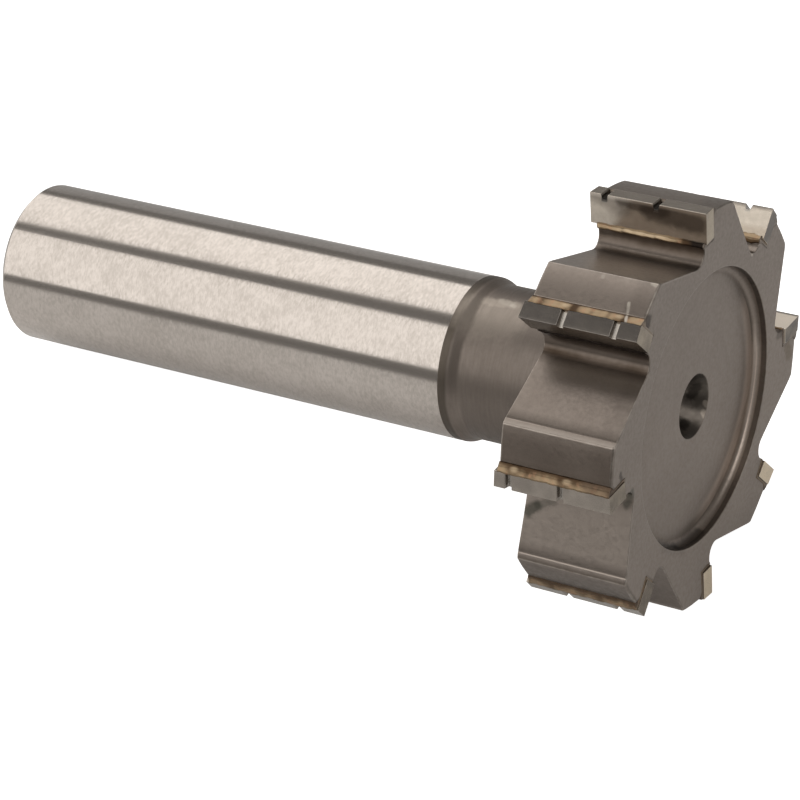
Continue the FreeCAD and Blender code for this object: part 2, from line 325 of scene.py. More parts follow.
def buildBody():
    # Rows from the front centre hole, out over the end face, along the teeth, in over the rear face, down the shank
    # to its centre hole. A row is a circle (radius at each column's angle), the outline, or the straight mix of both.
    outline, angles, breaks, heelMark, scorchAndShadeMark, paleAndLitMark, lineShadowMark = headOutline()
    radians = np.radians(angles)
    ray = np.stack([np.cos(radians), np.sin(radians)], -1)
    outward, ones = outwardOf(outline), np.ones(len(angles))
    inner = outline - outward * breaks[:, None]
    recess, depth, neck, shank = tool["recessRadius"], -body["recessDepth"], body["neckRadius"], body["shankRadius"]
    end, chamfer, shoulder, rim = body["shankEnd"], body["shankChamfer"], body["shoulderPlaces"], body["rimFlat"]
    frontLine, _ = turnedLine(centreHole(depth, -1, body["headCentre"], 7)[::-1] + [
        (depth, recess, body["recessRound"], 8, 2), (0.0, recess, 0.07, 4, 2),
        (frontFace(recess + rim), recess + rim, 0, 1, 0)])
    rearLine, rearPlaces = turnedLine([
        (rearFace(recess), recess, 0, 1, 4), (rearFace(neck), neck, body["hubRound"], 8, 6),
        (shoulder[0], neck, body["shoulderRound"], 5, 1), (shoulder[1], shank, body["shoulderRound"], 5, 2),
        (body["groundEdge"], shank, 0, 1, 12), (end + chamfer, shank, 0.06, 3, 2), (end, shank - chamfer, 0.06, 3, 4),
        *centreHole(end, 1, body["shankCentre"], 3)])
    rows, wearAndGlint = [], []

    def add(row, wornAndLit=0.0):
        # one more row, and how much each of its points is lightened by wear and painted edge highlight
        rows.append(row)
        wearAndGlint.append(ones * wornAndLit)

    def ringAt(x, radius):
        # a circle: the radius times each column's ray
        return np.column_stack([ones * x, ray * radius])

    def flatRow(flat, face):
        # flat points, each at the face's place for its own distance from the axis
        return np.column_stack([face(np.hypot(flat[:, 0], flat[:, 1])), flat])

    def bevel(face, side):
        # the broken edge: a quarter turn from the face to the side, as wide as the break at each column
        made = [flatRow(inner + outward * (breaks * np.sin(turn))[:, None], face)
                for turn in np.radians(body["edgeTurns"])]
        for row, turn in zip(made, np.radians(body["edgeTurns"])):
            row[:, 0] -= side * breaks * (1 - np.cos(turn))
        return made

    reach, wornAndLit = body["recessWear"]
    for x, radius in frontLine:
        add(ringAt(x, radius), wornAndLit * (np.hypot(x, radius - recess) < reach))
    guide = ray * (recess + rim)
    for t in body["faceRows"]:
        add(flatRow(guide + (inner - guide) * t, frontFace))
    firstSideRow = len(rows)
    frontBevel, rearBevel = bevel(frontFace, 1), bevel(rearFace, -1)
    for row, wornAndLit in zip(frontBevel, body["frontWear"]):
        add(row, wornAndLit)
    for t in body["sideRows"]:
        add(frontBevel[-1] + (rearBevel[-1] - frontBevel[-1]) * t, heelMark * body["heelWearAndGlint"])
    for row, wornAndLit in zip(rearBevel[::-1], body["rearWear"]):
        add(row, wornAndLit)
    lastSideRow = len(rows)
    guide = ray * recess
    for t in body["faceRows"][::-1]:
        add(flatRow(guide + (inner - guide) * t, rearFace))
    firstRearRing = len(rows)
    for (x, radius), place in zip(rearLine, rearPlaces):
        add(ringAt(x, radius), float(any(first < place < last for first, last in body["wornPlaces"])))
    rows = np.stack(rows)

    steps = np.linalg.norm(np.diff(rows[:, 0], axis=0), axis=1)
    along = np.concatenate([[0], np.cumsum(steps)])
    around = np.append(angles, angles[0] + 360) / 360 * body["turnsOfGrain"]
    onSide = np.zeros((len(rows), 1))
    onSide[firstSideRow:lastSideRow] = 1
    piece = wovenMesh("cutterSteel", rows, "pole", uv=(along, around), marks={
        "wearAndGlint": np.stack(wearAndGlint), "scorchAndShade": onSide * scorchAndShadeMark, "pale": onSide * paleAndLitMark, "line": onSide * lineShadowMark})
    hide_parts("cutter_body")

    # the ground finish starts at its own ring and ends with the shank's chamfer
    groundRows = np.zeros(len(rows), bool)
    first, last = body["groundPlaces"]
    groundRows[firstRearRing:] = (rearPlaces >= first) & (rearPlaces < last)
    finishOfFace = np.zeros(len(piece.data.polygons), int)
    finishOfFace[:(len(rows) - 1) * len(angles)] = np.repeat(groundRows[:-1] & groundRows[1:], len(angles))
    piece.data.polygons.foreach_set("material_index", finishOfFace)
    print("steel body", len(rows), "rows of", len(angles), "columns")
    return piece


# Carbide tips, one to a tooth: notches are places back from the tip's front end
tips = {
    "relief": 4.0,
    "sideRelief": 3.0,
    "edgeRound": 0.025,
    "backRound": 0.05,
    "footRound": 0.04,
    "endBreak": 0.022,
    "endReach": 0.4,        # rows this near an end move with its rake
    "endRows": (0.05, 0.4, 0.8, 0.97),
    "endTurns": (0, 30, 60),
    "endWear": (0, 0, 0, 0, 0.1, 0.3, 0.3),
    "notchWidth": 0.55,
    "notchDepth": 0.42,
    "notchWall": 15.0,
    "notchesEven": (3.95, 8.05),
    "notchesOdd": (1.9, 6.0),
    "hinge": 15.25,         # what lies further out sinks into a notch
    "landDepth": 0.11,
    "edgeWear": 0.006,      # the square of how far wear reaches from the cutting edge
    "sootDepth": 0.05,      # where a notch is sunk this deep its soot is full
    "freshDepths": (0.18, 0.33),    # and between these it turns freshly cut
    # tooth by tooth: how black the notches are, how bright the land, rake face and ends (partly their own tone, partly
    # painted light and shade for how each tooth catches the lamps, the brightest rake faces a painted reflection), how
    # matt the rake face
    "byTooth": {
        "soot": (0.3, 0.3, 0.2, 0.0, 0.85, 0.0, 0.4, 0.3),
        "land": (0.25, 0.2, 0.25, 0.3, 0.95, 0.05, 0.43, 0.47),
        "rake": (0.24, 0.24, 1.0, 0.62, 0.34, 0.0, 0.15, 0.15),
        "end": (0.85, 0.9, 0.04, 0.0, 0.32, 0.21, 0.15, 0.1),
        "matt": (0.0, 0.0, 0.6, 0.0, 0.0, 0.0, 0.0, 0.0),
    },
}


def notchPlaces(number):
    # the notches of every second tooth are set over by half their pitch
    return tips["notchesEven"] if number % 2 == 0 else tips["notchesOdd"]


def notchLimit(x, number):
    # the greatest radius at each place along the tip: the cutting radius, less a flat-bottomed groove at each notch
    limit = np.full(np.shape(x), tool["cuttingRadius"])
    for place in notchPlaces(number):
        beside = tips["notchWidth"] / 2 - np.abs(x - (tool["tipFront"] - place))
        sunk = np.clip(beside / np.tan(np.radians(tips["notchWall"])), 0, tips["notchDepth"])
        limit = np.minimum(limit, tool["cuttingRadius"] - sunk)
    return limit


def buildTip(number):
    # A rounded four-cornered section carried along the axis, its top sunk at the notches, its ends raked back.
    own = {key: values[number] for key, values in tips["byTooth"].items()}
    top, foot, thick, width = (tool[key] for key in ("cuttingRadius", "tipFoot", "tipThickness", "cuttingWidth"))
    hinge, endBreak = tips["hinge"], tips["endBreak"]
    corners = [(top - thick * np.tan(np.radians(tips["relief"])), -thick), (top, 0.0), (foot, 0.0), (foot, -thick)]
    rounds = [tips["backRound"], tips["edgeRound"], tips["footRound"], tips["footRound"]]
    loop, _ = roundedLine(corners, rounds, [3, 3, 2, 2], [6, 9, 4, 7], 0.03, closed=True)
    outward = outwardOf(loop)
    middle = np.array([(foot + top) / 2, -thick / 2])
    half = tips["notchWidth"] / 2
    floor = half - tips["notchDepth"] * np.tan(np.radians(tips["notchWall"]))
    besides = (half + 0.02, half, (half + floor) / 2, floor, floor - 0.02, 0.0)
    steps = [0.0, 0.03, *np.linspace(0.5, width - 0.5, 12), width - 0.03, width]
    steps += [place + side * away for place in notchPlaces(number) for side in (-1, 1) for away in besides]
    steps = np.unique(np.round(steps, 4))

    def rowAt(flat, place, inset):
        # x is the place back from the front end, moved with the raked ends near them
        nearFront = np.clip(1 - place / tips["endReach"], 0, 1)
        nearRear = np.clip(1 - (width - place) / tips["endReach"], 0, 1)
        rake = flat[:, 1] * np.tan(np.radians(tips["sideRelief"]))
        x = tool["tipFront"] - place + (rake - inset) * (nearFront - nearRear)
        sunk = hinge + (flat[:, 0] - hinge) * (notchLimit(x, number) - hinge) / (top - hinge)
        radial = np.where(flat[:, 0] > hinge, sunk, flat[:, 0])
        return np.column_stack([x, toothTurn(np.column_stack([radial, flat[:, 1]]), number)])

    def capAt(end):
        # rows from the middle of an end out to its edge, broken by part of a quarter turn
        flat = [rowAt(middle + (loop - outward * endBreak - middle) * t, end, 0.0) for t in tips["endRows"]]
        return flat + [
            rowAt(loop - outward * endBreak * (1 - np.sin(turn)), end, endBreak * (1 - np.cos(turn)))
            for turn in np.radians(tips["endTurns"])]

    sides = [rowAt(loop, min(max(step, endBreak), width - endBreak), 0.0) for step in steps]
    rows = np.stack(capAt(0.0) + sides + capAt(width)[::-1])
    capRows, flatRows = len(tips["endWear"]), len(tips["endRows"]) + 1
    endWear = np.array([*tips["endWear"], *(0.0 for _ in steps), *tips["endWear"][::-1]])
    cutEdge = np.exp(-((loop - [top, 0.0]) ** 2).sum(-1) / tips["edgeWear"])
    sunk = (top - notchLimit(rows[..., 0], number)) * (loop[:, 0] > hinge)
    isLand, isEnd = np.zeros(rows.shape[:2]), np.zeros(rows.shape[:2])
    isLand[capRows:-capRows] = loop[:, 0] > top - tips["landDepth"]
    isEnd[:flatRows], isEnd[-flatRows:] = 1, 1
    piece = wovenMesh(f"carbideTip{number + 1}", rows, "pole", marks={
        "wearAndGlint": np.maximum(endWear[:, None], cutEdge), "notch": np.interp(sunk, tips["freshDepths"], [0, 1]),
        "soot": np.clip(sunk / tips["sootDepth"], 0, 1) * own["soot"], "land": isLand, "end": isEnd,
        "tone": np.where(isLand > 0, own["land"], np.where(isEnd > 0, own["end"], own["rake"])),
        "matt": (1 - isLand) * (1 - isEnd) * own["matt"]})
    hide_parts(f"carbide_tip_{number + 1}")
    return piece


# Braze under and behind each tip: uneven where it shows
braze = {
    "endGap": 0.1,          # how much shorter than the head the wanderings run
    "beadSwell": 0.05,
    "beadWander": (0.04, 3.1),      # swing and length of each wandering
    "footWander": (0.05, 2.3),
    "overWander": (0.3, 1.7),
    "spillWander": (0.4, 1.9),
    "cleanWave": 3.4,
    "spillRange": (0.3, 1.6),       # least and most of a tooth's own spill
    "spillRise": (3, 0.12),         # how many times the spill its rise is, and the most that can be
    "stainAndShadowDark": 0.85,
    "endShares": (0.012, 0.003),    # shares of the length: how far past its end the closing row counts, and how far
                                    # in the row beside it lies
    "endSwell": 0.02,
    "endShrink": 0.55,
    "blobHeight": 0.07,
    "blobReach": 0.46,
    "footReach": 0.11,
    "footHighlightAt": (5.0, 2.9),       # middle and reach of the painted highlight along the foot
    "footFadeAt": (0.8, 1.8),
    "byTooth": {
        "footSwell": (0.09, 0.09, 0.09, 0.18, 0.19, 0.07, 0.09, 0.09),
        "footSpread": (0.03, 0.03, 0.03, 0.24, 0.10, 0.03, 0.03, 0.03),     # how far the foot spreads over its edges
        "spill": (0.0, 0.0, 0.0, 0.0, 0.0, 0.05, 0.07, 0.04),               # and the bead over the tip's land
        "pools": (0.3, 0.3, 0.6, 0.5, 0.0, 0.72, 0.72, 0.3),                # pale braze pooled beside the notches
        "blobAhead": (0.12, 0.12, 0.12, 0.12, 0.12, 0.12, 0.65, 0.12),      # and how far in front of its notch each is
        "clean": (0.45, 0.45, 0.6, 0.7, 0.5, 0.50, 0.57, 0.5),              # from heat-stained to clean on the bead
        "uneven": (0.18, 0.18, 0.18, 0.18, 0.18, 0.34, 0.22, 0.18),         # and how much that changes along it
        "stained": (0.5, 0.5, 0.5, 0.5, 0.5, 0.3, 0.95, 0.8),               # how far the stain, with painted shadow on the steel side, reaches over the bead
        "footClean": (0.5, 0.5, 0.5, 0.7, 0.9, -0.6, 0.3, 0.3),             # the same in the foot, and how much less
        "footFade": (0.0, 0.0, 0.0, 0.0, 1.4, 0.0, 0.0, 0.0),               # it is at its front end
        "footHighlight": (0.0, 0.0, 0.0, 0.6, 0.9, 0.0, 0.0, 0.0),
        "grey": (0.2, 0.2, 0.3, 0.3, 0.95, 0.0, 0.0, 0.1),                  # how grey the bead and the ends are
        "endGrey": (0.6, 0.6, 1.0, 0.9, 1.0, 0.7, 0.5, 0.4),
    },
}


def buildBraze(number):
    # A ribbon section, bent round the tip's two hidden sides, carried along the axis. Its bead on the land swells by
    # a sine across and its foot in the gullet by half an ellipse, and both wander along. The foot spreads over its
    # edges, the bead spills over the tip's land, and a pool lies beside each notch.
    own = {key: values[number] for key, values in braze["byTooth"].items()}
    seat, wall, thick, foot = (tool[key] for key in ("seatRadius", "seatWall", "tipThickness", "tipFoot"))
    edge, top = np.array(tool["beadEdge"]), np.array(tool["beadTop"])
    beadRun, lip, footMiddle = top - edge, edge[0] - tool["pocketLip"], np.array([(seat + foot) / 2, 0.0])
    # two paths of as many points: the outer one from the foot to the bead, the inner one back
    outer = [footMiddle, (seat + 0.04, 0.0), (seat, -0.03)] + [(seat, -wall * s) for s in (0.3, 0.65, 1.0)]
    outer += [(seat + (lip - seat) * s, -wall) for s in (0.25, 0.5, 0.75, 1.0)]
    outer += [edge + beadRun * s for s in (0.0, 0.12, 0.25, 0.38, 0.5)]
    inner = [edge + beadRun * s for s in (0.5, 0.62, 0.75, 0.88, 1.0)]
    inner += [(top[0] + (foot - top[0]) * s, -thick) for s in (0.25, 0.5, 0.75, 1.0)]
    inner += [(foot, -thick * s) for s in (0.9, 0.65, 0.3)] + [(foot, -0.03), (foot - 0.04, 0.0), footMiddle]
    loop = np.array(outer + inner)
    spine = (loop + loop[::-1]) / 2
    beadOut = unit(np.array([beadRun[1], -beadRun[0]]))
    beadShare = np.clip(((loop - edge) @ beadRun) / (beadRun @ beadRun), 0, 1)
    onBead = (loop[:, 0] > edge[0] - 0.001) & (np.abs((loop - edge) @ beadOut) < 1e-3)
    beadBulge = onBead * np.sin(np.pi * beadShare)
    spillShare = onBead * np.clip((beadShare - 0.5) * 2, 0, 1)
    onFoot = (loop[:, 1] > -0.031) & (loop[:, 0] < foot + 0.001)
    footAway = loop[:, 0] - footMiddle[0]
    footBulge = onFoot * np.sqrt(np.clip(1 - (footAway / braze["footReach"]) ** 2, 0, 1))
    footSide = onFoot * np.sign(np.round(footAway, 6))

    past, inside = braze["endShares"]
    share = np.concatenate([[-past, 0, inside], np.linspace(0.01, 0.99, 60), [1 - inside, 1, 1 + past]])[:, None]
    along = share * (tool["headWidth"] - braze["endGap"])

    def wandering(key, seed):
        # the swing times the uneven line, with other phases for each tooth
        swing, wave = braze[key]
        return swing * wander(along, wave, seed + number)

    blob = own["pools"] * sum(np.exp(-((along - place + own["blobAhead"]) / braze["blobReach"]) ** 2)
                              for place in notchPlaces(number))
    swell = braze["beadSwell"] + wandering("beadWander", 10) + braze["blobHeight"] * blob
    footRise = own["footSwell"] + wandering("footWander", 40)
    footOver = own["footSpread"] * (1 + wandering("overWander", 20))
    spill = own["spill"] * np.clip(0.9 + wandering("spillWander", 30) + 0.5 * blob, *braze["spillRange"])
    growth, most = braze["spillRise"]
    rise = np.minimum(spill * growth, most)
    flat = np.stack([
        loop[:, 0] + beadBulge * beadOut[0] * swell + footSide * footOver + spillShare * rise,
        loop[:, 1] + beadBulge * beadOut[1] * swell + footBulge * footRise + spillShare * spill], -1)
    before, behind = share[:, 0] < 0, share[:, 0] > 1
    flat[before | behind] = spine + (loop - spine) * braze["endShrink"]
    radius = np.hypot(flat[..., 0], flat[..., 1])
    endRise = braze["endSwell"] * (1 + 0.5 * np.sin(loop[:, 0] * 9 + number)) * (before * 1.0 - behind)[:, None]
    x = frontFace(radius) + (rearFace(radius) - frontFace(radius)) * np.clip(share, 0, 1) + endRise
    rows = np.concatenate([x[..., None], toothTurn(flat, number)], -1)

    clean = np.clip(own["clean"] + own["uneven"] * wander(along, braze["cleanWave"], 70 + number), 0, 1)
    clean = clean * (1 - braze["stainAndShadowDark"] * onBead * np.clip(1 - beadShare / own["stained"], 0, 1))
    (fadeStart, fadeReach), (highlightMiddle, highlightReach) = braze["footFadeAt"], braze["footHighlightAt"]
    footClean = own["footClean"] - own["footFade"] * np.clip(1 - (along - fadeStart) / fadeReach, 0, 1)
    grey = np.where(onFoot, 0.0, own["grey"]) * np.ones(rows.shape[:2])
    grey[:3], grey[-3:] = own["endGrey"], own["endGrey"]
    footHighlight = onFoot * own["footHighlight"] * np.exp(-((along - highlightMiddle) / highlightReach) ** 2)
    piece = wovenMesh(f"brazeSeam{number + 1}", rows, "ribbon", marks={
        "clean": np.where(onFoot, footClean, clean), "blob": beadBulge * blob + footHighlight, "grey": grey})
    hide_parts(f"braze_seam_{number + 1}")
    return piece


steelPiece = buildBody()
tipPieces = [buildTip(number) for number in range(tool["teeth"])]
brazePieces = [buildBraze(number) for number in range(tool["teeth"])]
print("tips and braze built")


def plug(tree, node, inputs):
    # sets each input, by name or number, or links it to another node's output
    for key, value in inputs.items():
        if isinstance(value, bpy.types.NodeSocket):
            tree.links.new(value, node.inputs[key])
        else:
            node.inputs[key].default_value = value


def addNode(tree, kind, inputs=None, output=0, **settings):
    # one node with its settings and inputs; gives one of its outputs
    node = tree.nodes.new(kind)
    for key, value in settings.items():
        setattr(node, key, value)
    plug(tree, node, inputs or {})
    return node.outputs[output] if node.outputs else None


def calc(tree, operation, *values, clamp=False):
    # one step of arithmetic
    return addNode(tree, "ShaderNodeMath", dict(enumerate(values)), operation=operation, use_clamp=clamp)


def times(tree, product, *others):
    # the product of all the values
    for other in others:
        product = calc(tree, "MULTIPLY", product, other)
    return product


def vectorCalc(tree, operation, *values, output="Vector"):
    # one step of vector arithmetic; a length, distance or dot product comes from the output "Value"
    return addNode(tree, "ShaderNodeVectorMath", dict(enumerate(values)), output, operation=operation)


def scaled(tree, vector, factor):
    # the vector or colour times a number
    return addNode(tree, "ShaderNodeVectorMath", {0: vector, 3: factor}, operation="SCALE")


def facing(tree, point, way):
    # how far the point lies along one way, in the point's own units: their dot product
    return vectorCalc(tree, "DOT_PRODUCT", point, way, output="Value")


def span(tree, value, low, high, toLow=0.0, toHigh=1.0):
    # the value's place between low and high, eased and held inside, carried to the new range
    return addNode(tree, "ShaderNodeMapRange", {0: value, 1: low, 2: high, 3: toLow, 4: toHigh},
                   interpolation_type="SMOOTHSTEP")


def mixed(tree, factor, one, other):
    # two numbers mixed by the factor
    return addNode(tree, "ShaderNodeMix", {0: factor, 2: one, 3: other})


def blend(tree, factor, *colours):
    # two colours mixed by the factor
    one, other = (value if isinstance(value, bpy.types.NodeSocket) else (*value, 1.0) for value in colours)
    return addNode(tree, "ShaderNodeMix", {0: factor, 6: one, 7: other}, 2, data_type="RGBA")


def noise(tree, point, scale, detail, roughness=0.5):
    # uneven values round a half
    return addNode(tree, "ShaderNodeTexNoise", {
        "Vector": point, "Scale": scale, "Detail": detail, "Roughness": roughness})


def sharpened(tree, value, sharpness):
    # the value's distance from a half, times the sharpness, plus a half
    return calc(tree, "MULTIPLY_ADD", calc(tree, "SUBTRACT", value, 0.5), sharpness, 0.5, clamp=True)


def newGroup(name, inputs, outputs):
    # a shader group with float or vector sockets; gives the tree, its inputs by name and its output node
    tree = bpy.data.node_groups.new(name, "ShaderNodeTree")
    for socket, value in inputs.items():
        kind = "NodeSocketVector" if isinstance(value, tuple) else "NodeSocketFloat"
        made = tree.interface.new_socket(name=socket, in_out="INPUT", socket_type=kind)
        made.default_value = value
    for socket in outputs:
        kind = "NodeSocketVector" if socket == "Point" else "NodeSocketFloat"
        tree.interface.new_socket(name=socket, in_out="OUTPUT", socket_type=kind)
    return tree, tree.nodes.new("NodeGroupInput").outputs, tree.nodes.new("NodeGroupOutput")


def useGroup(tree, group, **inputs):
    # one use of a shader group; gives its first output
    node = tree.nodes.new("ShaderNodeGroup")
    node.node_tree = group
    plug(tree, node, inputs)
    return node.outputs[0]


def makeToolPlace():
    # Object coordinates turned back into the tool's own millimetres, with the distance along the axis and from it
    tree, _, out = newGroup("toolPlace", {}, ["Point", "Along", "Radius"])
    turned = addNode(tree, "ShaderNodeMapping", {
        0: addNode(tree, "ShaderNodeTexCoord", output="Object"), 1: tuple(v / 1000 for v in lay["endFace"]),
        2: tuple(layTurn), 3: (0.001,) * 3}, vector_type="TEXTURE")
    along, *others = addNode(tree, "ShaderNodeSeparateXYZ", {0: turned}).node.outputs
    squares = calc(tree, "ADD", *(calc(tree, "POWER", other, 2.0) for other in others))
    plug(tree, out, {"Point": turned, "Along": along, "Radius": calc(tree, "SQRT", squares)})
    return tree


def makeSpeckle():
    # noise at one size, in millimetres, sharpened round its middle
    tree, given, out = newGroup("speckle", {"Point": (0.0, 0.0, 0.0), "Size": 1.0, "Sharpness": 1.0}, ["Value"])
    place = scaled(tree, given["Point"], calc(tree, "DIVIDE", 1.0, given["Size"]))
    plug(tree, out, {"Value": sharpened(tree, noise(tree, place, 1.0, 3.0, 0.55), given["Sharpness"])})
    return tree


def makeTurnedLines():
    # noise squeezed along the axis and drawn out round it, as a turning tool or grinding wheel leaves
    tree, given, out = newGroup("turnedLines", {
        "Point": (0.0, 0.0, 0.0), "PerMillimetre": 5.0, "Drawn": 0.3, "Sharpness": 1.0}, ["Value"])
    stretch = addNode(tree, "ShaderNodeCombineXYZ", {0: given["PerMillimetre"], 1: given["Drawn"], 2: given["Drawn"]})
    place = vectorCalc(tree, "MULTIPLY", given["Point"], stretch)
    plug(tree, out, {"Value": sharpened(tree, noise(tree, place, 1.0, 4.0, 0.6), given["Sharpness"])})
    return tree


wearing = {
    "smudgeNoise": (2.2, 3.0),      # how many to a millimetre and how fine
    "smudgeFade": (1.0, 0.35),      # shares of the reach where a smudge is gone and where it is full
    "wearNoise": (1.6, 4.0),
    "wearBroken": (0.35, 0.6, 0.35, 1.0),
}


def makeSmudge():
    # one within Reach of the straight line between two points, fading out and broken up by noise
    tree, given, out = newGroup("smudge", {
        "Point": (0.0, 0.0, 0.0), "From": (0.0, 0.0, 0.0), "To": (1.0, 0.0, 0.0), "Reach": 1.0, "Raggedness": 0.5},
        ["Mask"])
    run = vectorCalc(tree, "SUBTRACT", given["To"], given["From"])
    offset = vectorCalc(tree, "SUBTRACT", given["Point"], given["From"])
    share = calc(tree, "DIVIDE", facing(tree, offset, run), facing(tree, run, run), clamp=True)
    away = vectorCalc(tree, "DISTANCE", offset, scaled(tree, run, share), output="Value")
    uneven = calc(tree, "SUBTRACT", noise(tree, given["Point"], *wearing["smudgeNoise"]), 0.5)
    away = calc(tree, "ADD", away, times(tree, uneven, times(tree, given["Raggedness"], given["Reach"])))
    plug(tree, out, {"Mask": span(tree, calc(tree, "DIVIDE", away, given["Reach"]), *wearing["smudgeFade"])})
    return tree


def mark(tree, name):
    # one of the piece's own point marks
    return addNode(tree, "ShaderNodeAttribute", output="Fac", attribute_name=name)


def makeEdgeWearAndGlint():
    # the piece's own mark of edges lightened partly by wear and partly by painted highlight, broken up by noise
    tree, given, out = newGroup("edgeWearAndGlint", {"Point": (0.0, 0.0, 0.0), "Amount": 1.0}, ["Mask"])
    broken = span(tree, noise(tree, given["Point"], *wearing["wearNoise"]), *wearing["wearBroken"])
    wornAndLit = times(tree, mark(tree, "wearAndGlint"), broken)
    plug(tree, out, {"Mask": calc(tree, "MULTIPLY", wornAndLit, given["Amount"], clamp=True)})
    return tree


toolPlace, speckle, turnedLines = makeToolPlace(), makeSpeckle(), makeTurnedLines()
smudge, edgeWearAndGlint = makeSmudge(), makeEdgeWearAndGlint()
print("shader groups built")


def newMaterial(name):
    # an empty material with one surface shader
    material = bpy.data.materials.new(name)
    material.use_nodes = True
    tree = material.node_tree
    tree.nodes.clear()
    surface = addNode(tree, "ShaderNodeBsdfPrincipled")
    addNode(tree, "ShaderNodeOutputMaterial", {"Surface": surface})
    return material, tree, surface.node


def spots(tree, point, size, sharpness):
    # the speckle's value
    return useGroup(tree, speckle, Point=point, Size=size, Sharpness=sharpness)


def lines(tree, point, perMillimetre, drawn, sharpness):
    # the turned lines' value
    return useGroup(tree, turnedLines, Point=point, PerMillimetre=perMillimetre, Drawn=drawn, Sharpness=sharpness)


def smudges(tree, point, colour, marks):
    # each mark is (from, to, reach, raggedness, strength, colour), laid on over what is there
    for start, end, reach, ragged, strength, tone in marks:
        mask = useGroup(tree, smudge, Point=point, From=start, To=end, Reach=reach, Raggedness=ragged)
        colour = blend(tree, times(tree, mask, strength), colour, tone)
    return colour


def dress(tree, shader, colour, roughness, metal, height, bump):
    # the surface's colour, roughness and metal, and a bump of some strength and depth from the height
    strength, depth = bump
    normal = addNode(tree, "ShaderNodeBump", {"Height": height, "Strength": strength, "Distance": depth})
    plug(tree, shader, {"Base Color": colour, "Roughness": roughness, "Metallic": metal, "Normal": normal})


blastedFinish = {
    "dark": (0.128, 0.106, 0.090),
    "mid": (0.275, 0.233, 0.202),
    "between": (0.3225, 0.2775, 0.2435),
    "light": (0.370, 0.322, 0.285),
    "unground": (0.100, 0.084, 0.068),
    "wornAndLit": (0.47, 0.43, 0.385),
    "heat": (0.055, 0.038, 0.026),
    "line": (0.08, 0.066, 0.055),
    # size and sharpness of the slow patches, the blasted grains, the finest ones and the end face's rings
    "patches": (3.4, 1.5),
    "grains": (0.30, 1.3),
    "fine": (0.10, 1.3),
    "rings": (0.55, 1.6),
    "neckLines": (6.0, 0.6, 1.8),   # lines to a millimetre, the same round the neck, sharpness
    "linesOnNeck": 0.7,     # how much lines and rings replace the grains
    "ringsOnFace": 0.25,
    "grainDark": 0.30,      # how strongly each layer tints what is under it
    "finePale": 0.14,
    "ringDark": 0.12,
    # painted shadow in the sunk line beside the strips
    "lineShadow": 0.6,
    "bandDark": 0.9,
    "neck": 0.66,           # how bright the neck is beside the head, and the painted highlight on the step up to the shank
    "shoulder": 1.15,
    # painted light and shade in the recess: how dark the painted shadow on its wall is, and how bright the painted
    # highlight on the foot of its right side, its corner and the flat beside that
    "paintedLight": {"recessWallShadow": 0.50, "lowWallHighlight": 2.0, "recessCornerHighlight": 1.8, "byCornerHighlight": 2.15},
    # painted shade across the end face: darker towards its top, lighter towards its bottom
    "paintedFaceShade": (-16.0, 16.0, -0.15, 0.07),     # how the end face's shade changes from its top to its bottom
    "wornAmount": 0.8,
    "heatPatches": (0.2, 0.8, 0.7, 0.95),   # the patches' range, and how much of the heat shows at its two ends
    "roughness": (0.2, 0.8, 0.40, 0.29),    # the grain's range, and the roughness at its two ends
    "rougher": 0.09,        # added on the neck and by the recess's corner
    "fineHeight": 0.2,
    "bump": (0.22, 0.000012),
    "metal": 0.92,
}
# Ways out from the tool's axis, named as they run in the picture, and the zones of the steel: each the product of
# ramps along one measure, from the first place to the second, with the values at both if they aren't 0 and 1
steelWays = {
    "downward": (0.0, 1.0, 0.0),
    "upRight": (0.0, 0.259, 0.966),
    "rightward": (0.0, 0.5, 0.866),
    "downRight": (0.0, 0.743, 0.669),
}
steelZones = {
    "face": [("along", -1.3, -1.15), ("radius", 10.6, 10.2)],
    "faceAndRecess": [("along", -1.9, -0.9)],
    "ring": [("radius", 9.15, 9.6), ("radius", 10.15, 9.95)],
    "neck": [("radius", 7.6, 6.6), ("along", -7.4, -8.4)],
    "shoulder": [("along", -18.36, -18.16), ("along", -17.2, -17.5)],
    "band": [("along", -18.2, -18.45), ("along", -30.0, -29.0)],
    "hole": [("radius", 2.52, 2.40), ("along", -20.0, -19.0)],
    "nearRecess": [("radius", 9.7, 9.95), ("radius", 10.65, 10.58), ("along", -2.0, -1.5)],
    "recessWallShadow": [("along", -0.55, -0.40), ("along", -0.03, -0.10), ("radius", 10.2, 10.4), ("radius", 10.8, 10.65)],
    "lowWallHighlight": [("radius", 10.36, 10.48), ("radius", 10.8, 10.65), ("along", -0.03, -0.15), ("along", -0.92, -0.78),
                ("rightward", 8.4, 10.3)],
    "recessCornerHighlight": [("radius", 9.90, 10.06), ("radius", 10.57, 10.40), ("along", -0.45, -0.62),
                     ("along", -1.2, -1.1), ("upRight", 9.0, 10.3, 0.25, 1.0)],
    "byCornerHighlight": [("radius", 8.4, 9.5), ("radius", 10.06, 9.90), ("along", -1.2, -1.1), ("rightward", 3.3, 7.0),
                 ("downRight", 8.75, 9.35, 1.0, 0.5)],
}
greenStain, brownStain, shadowTone = (0.062, 0.064, 0.050), (0.155, 0.118, 0.078), (0.022, 0.018, 0.015)
paleFleck, sheenTone, burnt = (0.50, 0.455, 0.395), (0.40, 0.35, 0.30), (0.040, 0.028, 0.020)
holeWall, holeShadow = (0.165, 0.145, 0.127), (0.092, 0.080, 0.068)
